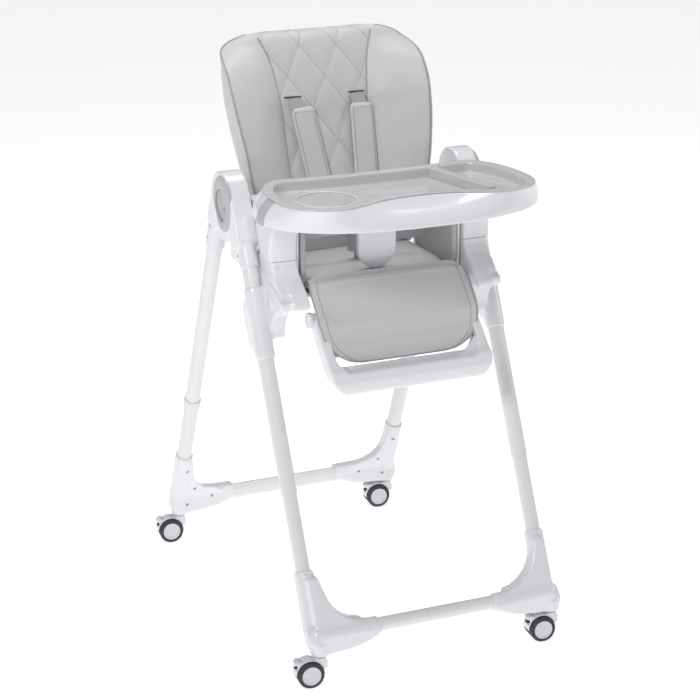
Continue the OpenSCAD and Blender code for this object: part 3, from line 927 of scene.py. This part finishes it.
def makeHeightButtons(b):
    face = [yz(onFront(t, off)) for t, off in b["face"]]
    button = cast("heightButton", [slab(face, *b["x"])], "trim", 0.9, 3)
    return bothSides(button, "heightButton", "height_button_{}", "height_button_{}")


makeHeightButtons(heightButton)
print("arms made")

# pieces whose corners are softened from their CAD shape


def softened(node, name, body, material, voxel=2.2, smooth=8):
    source = nodes[node]
    points = [source.matrix_world @ v.co for v in source.data.vertices]
    faces = [tuple(p.vertices) for p in source.data.polygons]
    piece = cast(name, [(points, faces)], material, voxel, smooth)
    return place(piece, body, node)


softened("seat_shell", "seatShell", "seat", "gloss", 2.2, 6)
softened("back_shell", "backShell", "back", "gloss", 2.4, 6)
softened("recline_lever", "reclineLever", "recline_lever", "trim", 1.6, 5)
softened("calf_board", "calfBoard", "leg_rest", "gloss", 2.0, 6)
softened("crotch_post", "crotchPost", "tray", "gloss", 2.0, 10)
softened("foot_bar_knobs", "footBarKnobs", "leg_rest", "gloss", 1.2, 3)

footBar = {
    "axis": (-166, 628),
    "half": 163.5,
    "window": 146,
    "inner": 26,
    "lip": 549,
    "outer": 40,
    "board": [(-231, 551), (-240, 559), (-254, 560), (-264, 553), (-271, 532), (-272, 514),
              (-265, 508), (-254, 508),
              (-246, 514), (-238, 534)],
}


def quarter(x, z, r, s=1):
    # a quarter turn from a corner's side down to its foot
    turns = [math.radians(-i * 90 / 8) for i in range(9)]
    return [(s * (x + r * math.cos(t)), z + r * math.sin(t)) for t in turns]


def makeFootBar(f):
    # two flat arms that run down into a board with a rolled lip
    wide = f["half"]
    arm = egg(f["axis"], 13, (-243, 546), 17)
    piece = cast("footBar", [slab(arm, -wide, wide), slab(f["board"], -wide, wide)], "gloss", 2.4, 2)
    half, bend = f["window"], f["inner"]
    window = [(half, 700)] + quarter(half - bend, f["lip"] + bend, bend)
    window += [(-x, z) for x, z in reversed(window)]
    carve(piece, slab(window, -320, -100, "y"))
    bend = f["outer"]
    for s in (-1, 1):
        corner = [(s * (wide + 8), 509 + bend)] + quarter(wide - bend, 507 + bend, bend, s)
        corner += [(s * (wide - bend), 495), (s * (wide + 8), 495)]
        carve(piece, slab(corner, -320, -200, "y"))
    roundOff(piece, 2.0, 10)
    piece.data.shade_smooth()
    return place(piece, "leg_rest", "foot_bar")


makeFootBar(footBar)
print("shells made")

# tray

tray = {
    "rim": [
        (0, -80), (60, -80), (120, -77), (151, -73), (184, -67), (208, -76), (228, -100), (242, -132),
        (250, -170), (253, -210), (251, -245), (243, -270), (228, -292), (208, -307), (185, -314),
        (155, -316),
        (125, -306), (95, -292), (62, -281), (30, -276), (0, -275),
    ],
    "skirt": [
        (0, -79), (60, -79), (120, -76), (152, -72), (186, -66), (216, -73), (245, -94), (262, -124),
        (271, -158), (277, -190), (277, -214), (264, -246), (244, -273), (222, -293), (196, -309),
        (163, -323),
        (130, -332), (98, -338), (64, -342), (32, -344), (0, -344),
    ],
    "low": 832,
    "top": 873.2,
    "deck": 855.2,
    "cup": (-134, -172, 56),
    "ridge": [(116, -92), (134, -180), (152, -270)],
    "latch": (-214, -178),
    "floor": 0.39,
    "liner": [(9.6, 853), (8.8, 862), (8.6, 873.5), (0.0, 873.6), (-0.4, 874.1), (-0.1, 874.7), (0.8, 874.9),
              (4, 874.9), (15.5, 874.9), (17.6, 874.5), (18.8, 873), (19.4, 870), (20.4, 860), (21.4, 857),
              (23.6, 855.6), (27, 855.2)],
}


def trayLoop(t, share, inset, z):
    # outline between the rim (0) and the skirt's foot (1); inset is positive towards the middle
    rim, skirt = t["rim"], t["skirt"]
    half = [tuple(a * (1 - share) + b * share for a, b in zip(p, q)) for p, q in zip(rim, skirt)]
    ring = closeLoop(half + [(-x, y) for x, y in reversed(half[1:-1])])
    n = len(ring)
    loop = []
    for i in range(n):
        ax, ay = ring[i - 1]
        bx, by = ring[(i + 1) % n]
        length = math.hypot(bx - ax, by - ay)
        nx, ny = (by - ay) / length, -(bx - ax) / length
        x, y = ring[i]
        loop.append((x + nx * inset, y + ny * inset, z))
    return loop


def loft(name, loops, material):
    # a skin over loops of points, closed at both ends
    n = len(loops[0])
    verts = [Vector(p) * mm for loop in loops for p in loop]
    faces = []
    for j in range(len(loops) - 1):
        for i in range(n):
            a, b = j * n + i, j * n + (i + 1) % n
            faces.append((a, b, b + n, a + n))
    for start in (0, (len(loops) - 1) * n):
        middle = len(verts)
        verts.append(sum(verts[start : start + n], Vector()) / n)
        faces += [(middle, start + i, start + (i + 1) % n) for i in range(n)]
    obj = meshObject(name, verts, faces, material)
    outward(obj.data)
    return obj


def skirtShare(h):
    return 1 - h**2.2


def makeTrayBody(t):
    low, top, base = t["low"], t["top"], t["floor"]
    rise = top - low
    y0, y1 = t["latch"]
    plate = [trayLoop(t, skirtShare(base), 8, low + rise * base + 0.4)]
    inner = [trayLoop(t, skirtShare(h), 3.4, low + rise * h) for h in (base, 0.3, 0.2, 0.1, 0.04)]
    lip = [trayLoop(t, 1, inset, low + z) for inset, z in ((3.0, 0.6), (2.2, 0), (0.8, 0), (0.1, 0.8))]
    outer = [trayLoop(t, skirtShare(h / 16), 0, low + rise * h / 16) for h in range(1, 16)]
    edge = [trayLoop(t, 0, inset, z) for inset, z in ((0.3, top - 0.6), (1.2, top), (8.5, top), (9, 852))]
    body = loft("trayBody", plate + inner + lip + outer + edge, "gloss")
    for s in (-1, 1):
        notch = [(s * 245.5, y0 - 1.2), (s * 290, y0 - 1.2), (s * 290, y1 + 1.2), (s * 245.5, y1 + 1.2)]
        carve(body, slab(notch, 820, 872.6, "z"))
    hardEdges(body)
    return body


def makeLatches(t):
    # grey patches that follow the skirt at the tray's ends
    low = t["low"]
    y0, y1 = t["latch"]
    rows = [y0 + (y1 - y0) * k / 8 for k in range(9)]
    for side, s in (("right", 1), ("left", -1)):
        strips = []
        for i in range(13):
            h = i / 12
            z = low + (871.8 - low) * h
            loop = trayLoop(t, skirtShare(h), -0.3, z)
            edge = sorted((y, x) for x, y, _ in loop if x > 0 and y0 - 25 < y < y1 + 25)
            strip = [(s * between(edge, y), y, z) for y in rows]
            strips.append(strip + [(s * 249.4, y, z) for y in reversed(rows)])
        patch = loft("trayLatch" + side, strips, "trim")
        hardEdges(patch, 50)
        place(patch, "tray_latch_" + side, "tray_latch_" + side)


def makeLiner(t):
    liner = loft("trayLiner", [trayLoop(t, 0, inset, z) for inset, z in t["liner"]], "liner")
    cx, cy, r = t["cup"]

    def around(radius, turn):
        return cx + radius * math.cos(turn), cy + radius * math.sin(turn)

    carve(liner, rod(at(cx, cy, 854), at(cx, cy, 870), r * mm, (r + 1) * mm))
    carve(liner, slab([around(r - 6, i / 6) for i in range(38)], 853.6, 870, "z"))
    circle = [at(*around(r + 0.6, math.pi * i / 24), t["deck"]) for i in range(48)]
    place(tube("cupRing", circle, 1.7 * mm, "gloss", closed=True), "liner")
    wall = [(x - 8.5, y) for x, y in t["ridge"]] + [(x + 8.5, y) for x, y in reversed(t["ridge"])]
    ridge = cast("trayRidge", [slab(wall, 854, 874.6, "z")], "liner", 1.6, 6)
    place(ridge, "liner")
    liner.data.materials.append(finish["deck"])
    for p in liner.data.polygons:
        p.material_index = 1 if p.center.z < 855.4 * mm and p.normal.z > 0.9 else 0
    hardEdges(liner, 40)
    place(liner, "liner", "tray_liner")


trayBody = makeTrayBody(tray)
makeLatches(tray)
place(trayBody, "tray", "tray_body")
makeLiner(tray)
print("tray made")

# soft goods

lean = math.radians(16.5)
backSin, backCos = math.sin(lean), math.cos(lean)


def onBack(x, y, z):
    # x across, y out of the face, z up the backrest from its hinge
    return (x, 88 + y * backCos + z * backSin, 684 + z * backCos - y * backSin)


def inflate(obj, pinned, pressure, cap, frames=18):
    # pinned vertices stay put and the rest swells like stuffing under cloth
    rest = [v.co.copy() for v in obj.data.vertices]
    group = obj.vertex_groups.new(name="pinned")
    for i, weight in enumerate(pinned):
        if weight > 0:
            group.add([i], weight, "REPLACE")
    cloth = obj.modifiers.new("stuffing", "CLOTH")
    s = cloth.settings
    s.quality = 6
    s.mass = 0.3
    s.tension_stiffness = 25
    s.compression_stiffness = 12
    s.shear_stiffness = 12
    s.bending_stiffness = 0.6
    s.effector_weights.gravity = 0
    s.use_pressure = True
    s.uniform_pressure_force = pressure
    s.vertex_group_mass = "pinned"
    cloth.collision_settings.use_collision = False
    cloth.point_cache.frame_start = 1
    cloth.point_cache.frame_end = frames
    for f in range(1, frames + 1):
        scene.frame_set(f)
    graph = bpy.context.evaluated_depsgraph_get()
    swollen = obj.evaluated_get(graph).data
    moved = [v.co.copy() for v in swollen.vertices]
    obj.modifiers.clear()
    obj.vertex_groups.clear()
    scene.frame_set(1)
    for v, a, b in zip(obj.data.vertices, rest, moved):
        step = b - a
        if step.length > cap * mm:
            step *= cap * mm / step.length
        v.co = a + step
    obj.data.update()


backPad = {
    "low": 4,
    "high": 430,
    "rows": 132,
    "width": [(4, 152), (40, 160), (100, 178), (152, 188), (195, 194), (244, 201), (302, 206), (339, 206),
              (364, 205), (385, 201), (400, 193), (412, 180), (421, 160), (427, 136), (430, 108)],
    "border": [(4, -24), (40, -34), (100, -62), (152, -73), (195, -78.5), (244, -78.5), (302, -73),
               (339, -62), (364, -48), (385, -24), (402, -2), (414, 1), (430, 2)],
    "seamX": [(4, 86), (120, 87), (244, 89), (296, 92), (367, 102), (410, 116), (424, 124), (430, 127)],
    "seamY": [(4, -18), (244, -20), (296, -24), (367, -22), (415, -17), (427, -8), (430, -2)],
    "panel": 56,
    "wing": 24,
    "quilt": ((-1.42, 344.6, 105.7), (1.9, 324.8, 151.0)),
}
for key in ("width", "border", "seamX", "seamY"):
    backPad[key] = smoothTable(backPad[key])


def makeBackPad(p):
    loops = []
    kinds = []
    for j in range(p["rows"] + 1):
        z = p["low"] + (p["high"] - p["low"]) * j / p["rows"]
        w, b = between(p["width"], z), between(p["border"], z)
        sx, sy = between(p["seamX"], z), between(p["seamY"], z)
        sx = min(sx, w - 4)
        crown = 1 - max(0, (z - 400) / 30) ** 2
        right = []
        for i in range(1, p["panel"] // 2 + 1):
            t = i / (p["panel"] // 2)
            right.append((sx * t, sy - 5 * crown * (1 - t**4), "panel" if t < 1 else "seam"))
        for i in range(1, p["wing"] + 1):
            t = i / p["wing"]
            dx, dy = w - sx, b - sy
            length = max(math.hypot(dx, dy), 1)
            puff = 9 * math.sin(math.pi * t) ** 0.7 * min(1, length / 90)
            x = sx + dx * t + dy / length * puff
            y = sy + dy * t - dx / length * puff
            right.append((x, y, "wing" if t < 1 else "edge"))
        for i in range(1, 9):
            t = i / 8
            x = w + 3 * math.sin(math.pi * t) - 12 * t
            right.append((x, b + (6 - b) * t, "side" if t < 1 else "rear"))
        for i in range(1, 8):
            right.append(((w - 12) * (1 - i / 8), 6, "rear"))
        middle = [(0, sy - 5 * crown, "panel")]
        back = [(0, 6, "rear")]
        row = middle + right + back + [(-x, y, k) for x, y, k in reversed(right)]
        loops.append([onBack(x, y, z) for x, y, k in row])
        kinds.append([(k, x, z) for x, y, k in row])
    pad = loft("backPad", loops, "hide")
    flat = [entry for row in kinds for entry in row] + [("rear", 0, 0), ("rear", 0, 0)]
    held = {"seam": 1, "edge": 1, "rear": 1, "panel": 0, "wing": 0, "side": 0.4}
    pins = [held[k] for k, x, z in flat]
    n = len(loops[0])
    for i in list(range(n)) + list(range(len(loops) * n - n, len(loops) * n)):
        pins[i] = 1
    inflate(pad, pins, 3.0, 7)
    quilt(pad, flat, p)
    pad.data.materials.append(finish["panel"])
    for face in pad.data.polygons:
        names = [flat[i][0] for i in face.vertices]
        face.material_index = 1 if "panel" in names else 0
    out = Vector((0, -backCos, backSin)) * mm
    lines = []
    for column, short, radius in ((p["panel"] // 2, 4, 1.5), (p["panel"] // 2 + p["wing"], 1, 1.7)):
        for c in (column, n - column):
            line = [pad.data.vertices[j * n + c].co + out * 0.6 for j in range(2, len(loops) - short)]
            lines.append(tube("backSeam", line, radius * mm, "piping"))
    piping = merged("backPiping", lines)
    place(pad, "back", "back_pad")
    place(piping, "back")
    stitchQuilt(pad, p)


def quiltDistance(x, z, p):
    # distance to the nearest of the two families of slanting seams
    gaps = []
    for slope, first, step in p["quilt"]:
        c = z - slope * x - first
        gaps.append(abs((c + step / 2) % step - step / 2) / math.hypot(1, slope))
    return min(gaps)


def quilt(pad, flat, p):
    # hollows along the quilting seams, and faint wrinkles on the wings and sides
    pad.data.update()
    normals = [v.normal.copy() for v in pad.data.vertices]
    for v, (kind, x, z), normal in zip(pad.data.vertices, flat, normals):
        if kind == "panel":
            d = quiltDistance(x, z, p)
            edge = min(1, (between(p["seamX"], z) - abs(x)) / 8)
            v.co += normal * (2.2 * (1 - math.exp(-((d / 7) ** 2))) - 2.6) * mm * edge
        if kind in ("wing", "side"):
            wrinkle = noise.noise(v.co * 28) + noise.noise(v.co * 70) * 0.35
            v.co += normal * wrinkle * mm
    pad.data.update()


def merged(name, objs):
    # several pieces made into one
    bm = bmesh.new()
    for o in objs:
        bm.from_mesh(o.data)
    mesh = bpy.data.meshes.new(name)
    bm.to_mesh(mesh)
    bm.free()
    mesh.materials.append(objs[0].data.materials[0])
    mesh.shade_smooth()
    for o in objs:
        bpy.data.objects.remove(o)
    obj = bpy.data.objects.new(name, mesh)
    scene.collection.objects.link(obj)
    return obj


def stitchQuilt(pad, p):
    # a fine raised thread along each slanting seam
    bpy.context.view_layer.update()
    toward = Vector((0, backCos, -backSin))
    lines = []
    for slope, first, step in p["quilt"]:
        for k in range(-3, 4):
            points = []
            for i in range(-60, 61):
                x = i * 2.0
                z = first + step * k + slope * x
                if p["low"] + 60 < z < 424 and abs(x) < between(p["seamX"], z) - 1:
                    start = Vector(onBack(x, -90, z)) * mm
                    hit, point, normal, _ = pad.ray_cast(start, toward)
                    if hit:
                        points.append(point + normal * 0.2 * mm)
            if len(points) > 2:
                lines.append(tube("stitch", points, 0.9 * mm, "thread"))
    place(merged("backStitching", lines), "back")


makeBackPad(backPad)
print("backrest made")

seat = {
    "half": 150,
    "middle": -33,
    "base": [(-151, -150), (151, -150), (151, 60), (148, 84), (-148, 84), (-151, 60)],
    "roll": [(16, 663), (4, 664), (0, 668), (0, 680), (2, 685), (6, 688), (20, 689.6), (60, 691)],
    "side": [(-118, 662), (46, 662), (50, 700), (50, 752), (40, 780), (26, 792), (-92, 792), (-108, 784),
             (-114, 770)],
}


def makeSeat(s):
    middle = s["middle"]
    rings = []
    for inset, z in s["roll"]:
        k = 1 - inset / s["half"]
        rings.append([(x * k, middle + (y - middle) * k, z) for x, y in closeLoop(s["base"], 3)])
    cushion = loft("seatCushion", rings, "flap")
    place(cushion, "seat", "seat_pad")
    # the side pads take the darker copy of the seat fabric: painted shade, not a different cloth
    side = cast("sidePadRight", [slab(closeLoop(s["side"]), 150.5, 161.5)], "lining", 2.4, 10)
    other = mirrored(side, "sidePadLeft")
    for piece in (side, other):
        place(piece, "seat")


makeSeat(seat)

flap = {
    "edge": [
        (150, -120, 689), (157, -142, 689.5), (161, -157, 679), (162, -186, 647), (161, -205, 621),
        (155, -214, 597), (149, -219, 587), (139, -222.5, 577), (125, -225, 567), (108, -226, 559),
        (84, -226.4, 555),
    ],
    "thick": 11,
}


def makeFlap(f):
    # a padded apron from the seat's front edge down over the leg rest
    line = spline(f["edge"], 10)
    count = 44
    loops = []
    m = len(line)
    for j, q in enumerate(line):
        ahead = line[min(j + 1, m - 1)] - line[max(j - 1, 0)]
        tangent = Vector((0, ahead.y, ahead.z)).normalized()
        out = Vector((0, tangent.z, -tangent.y))
        if out.y > 0:
            out = -out
        grow = min(1, (m - 1 - j) / 10) ** 0.5 * min(1, j / 6) ** 0.5
        t = f["thick"] * (0.35 + 0.65 * grow)
        loop = []
        for i in range(count + 1):
            u = -1 + 2 * i / count
            belly = (1 - abs(u) ** 3.2) * 5.5 * grow
            loop.append(Vector((q.x * u, q.y, q.z)) + out * belly)
        for i in range(count + 1):
            u = 1 - 2 * i / count
            edgeRound = 1 - abs(u) ** 12
            loop.append(Vector((q.x * u, q.y, q.z)) - out * t * (0.3 + 0.7 * edgeRound))
        loops.append([tuple(v) for v in loop])
    pad = loft("legFlap", loops, "flap")
    n = len(loops[0])
    pins = []
    for j in range(m):
        for i in range(n):
            border = i in (0, count, count + 1, n - 1) or i > count or j < 4 or j == m - 1
            pins.append(1 if border else 0)
    pins += [1, 1]
    inflate(pad, pins, 1.2, 4)
    places = [v.co.copy() for v in pad.data.vertices]
    rim = [places[j * n + count] for j in range(m)] + [places[j * n] for j in reversed(range(m))]
    right = []
    for j in range(6, m - 3):
        i = count - max(2, round(count * 8 / (2 * line[j].x)))
        right.append(places[j * n + i])
    left = [Vector((-q.x, q.y, q.z)) for q in reversed(right)]
    steps = 14
    foot = []
    for i in range(1, steps):
        u = 1 - 2 * i / steps
        foot.append(places[(m - 3) * n + round(count / 2 + u * (count / 2) * 0.84)])
    seam = tube("flapSeam", right + foot + left, 0.8 * mm, "piping")
    piping = merged("flapPiping", [seam, tube("flapEdge", rim, 1.3 * mm, "piping")])
    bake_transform(pad)
    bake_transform(piping)
    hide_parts("calf_pad")


makeFlap(flap)
print("seat made")

harness = {
    "left": [(-50, 276), (-47, 240), (-42, 205), (-37, 165), (-32, 128)],
    "right": [(74, 275), (73, 240), (71.5, 205), (70, 165), (67, 128)],
    "slits": {"left": (-66, 297), "right": (67, 297)},
    "width": 49,
    "thick": 9,
    "face": -27,
}


def padAlong(name, path, width, thick, material, place3d):
    # a flat stuffed strip along a path, square ended with round corners
    line = spline([(x, 0, z) for x, z in path], 12)
    loops = []
    m = len(line)
    for j, q in enumerate(line):
        ahead = (line[min(j + 1, m - 1)] - line[max(j - 1, 0)]).normalized()
        side = Vector((ahead.z, 0, -ahead.x))
        endGap = min(j, m - 1 - j) / (m - 1)
        grow = min(1, endGap * 14) ** 0.5 if endGap < 0.072 else 1
        half = width / 2 * (0.72 + 0.28 * grow)
        t = thick / 2 * (0.35 + 0.65 * grow)
        loop = []
        for i in range(32):
            a = 2 * math.pi * i / 32
            ca, sa = math.cos(a), math.sin(a)
            px = math.copysign(abs(ca) ** 0.55, ca) * half
            py = math.copysign(abs(sa) ** 0.8, sa) * t
            spot = q + side * px
            loop.append(place3d(spot.x, py, spot.z))
        loops.append(loop)
    return loft(name, loops, material)


def makeHarness(h):
    straps, slits, hems = [], [], []

    def onFace(x, y, z):
        return onBack(x, h["face"] - 5 + y, z)

    for key in ("left", "right"):
        path = h[key]
        pad = padAlong("shoulderPad" + key, path, h["width"], h["thick"], "hide", onFace)
        place(pad, "back")
        middle = spline([(x, 0, z) for x, z in path], 12)[3:-3]
        hem = []
        for s, line in ((1, middle), (-1, middle[::-1])):
            offset = s * (0.5 * h["width"] - 5)
            hem += [Vector(onFace(q.x + offset, -0.5 * h["thick"] + 0.4, q.z)) * mm for q in line]
        hems.append(tube("hem", hem, 0.6 * mm, "piping", closed=True))
        slitX, slitZ = h["slits"][key]

        def onPanel(x, y, z):
            return onBack(x, -27.5 - (slitZ - z) * 0.14 + y, z)

        strap = padAlong("strapTop", [(slitX, slitZ), (path[0][0], 268)], 30, 1.6, "webbing", onPanel)
        # each slit is a thin dark strip: painted shade standing for the opening the strap passes through
        slit = padAlong("slit", [(slitX - 18, slitZ + 1), (slitX + 18, slitZ + 0.5)], 3.4, 3, "dark", onPanel)
        slits.append(slit)
        low = path[-1]
        lower = padAlong("strapLow", [(low[0], 132), (low[0] * 0.8, 92)], 25, 2, "webbing", onFace)
        straps += [strap, lower]
    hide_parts("shoulder_harness")
    place(merged("shoulderStraps", straps), "back")
    place(merged("strapSlitShade", slits), "back")
    place(merged("padHems", hems), "back")


makeHarness(harness)
softened("lap_harness", "lapHarness", "seat", "trim", 1.2, 3)
print("harness made")

# stage and light

reach = 90
corners = [(-reach, -reach, 0), (reach, -reach, 0), (reach, reach, 0), (-reach, reach, 0)]
floor = meshObject("floor", corners, [(0, 1, 2, 3)], smooth=False)
floorBoard = Board("studio floor")
haze = floorBoard.mottle(0.6)
floor.data.materials.append(
    floorBoard.finish(
        {
            "Base Color": floorBoard.tint((0.86, 0.86, 0.86), (0.84, 0.84, 0.84), haze),
            "Roughness": 0.6 + haze * 0.1,
        },
        {"Specular IOR Level": 0.2, "Emission Color": (1, 1, 1, 1), "Emission Strength": 0.66},
    )
)

world = bpy.data.worlds.new("studio")
scene.world = world
world.use_nodes = True
sky = world.node_tree.nodes["Background"].inputs
sky["Color"].default_value = (1, 1, 1, 1)
sky["Strength"].default_value = 0.27

lamps = {
    "key": {"at": (-2.6, -2.2, 3.0), "to": (0, 0, 0.6), "size": 1.1, "power": 62},
    "fill": {"at": (3.0, -1.2, 1.8), "to": (0, 0, 0.6), "size": 0.9, "power": 14},
    "top": {"at": (0.2, 0.4, 3.4), "to": (0, 0, 0), "size": 1.6, "power": 38},
}
for name, s in lamps.items():
    data = bpy.data.lights.new(name, "AREA")
    data.size = s["size"]
    data.energy = s["power"]
    lamp = bpy.data.objects.new(name, data)
    scene.collection.objects.link(lamp)
    aim = (Vector(s["to"]) - Vector(s["at"])).to_track_quat("-Z", "Y").to_matrix().to_4x4()
    lamp.matrix_world = Matrix.Translation(s["at"]) @ aim

bpy.context.view_layer.update()
print("stage set")
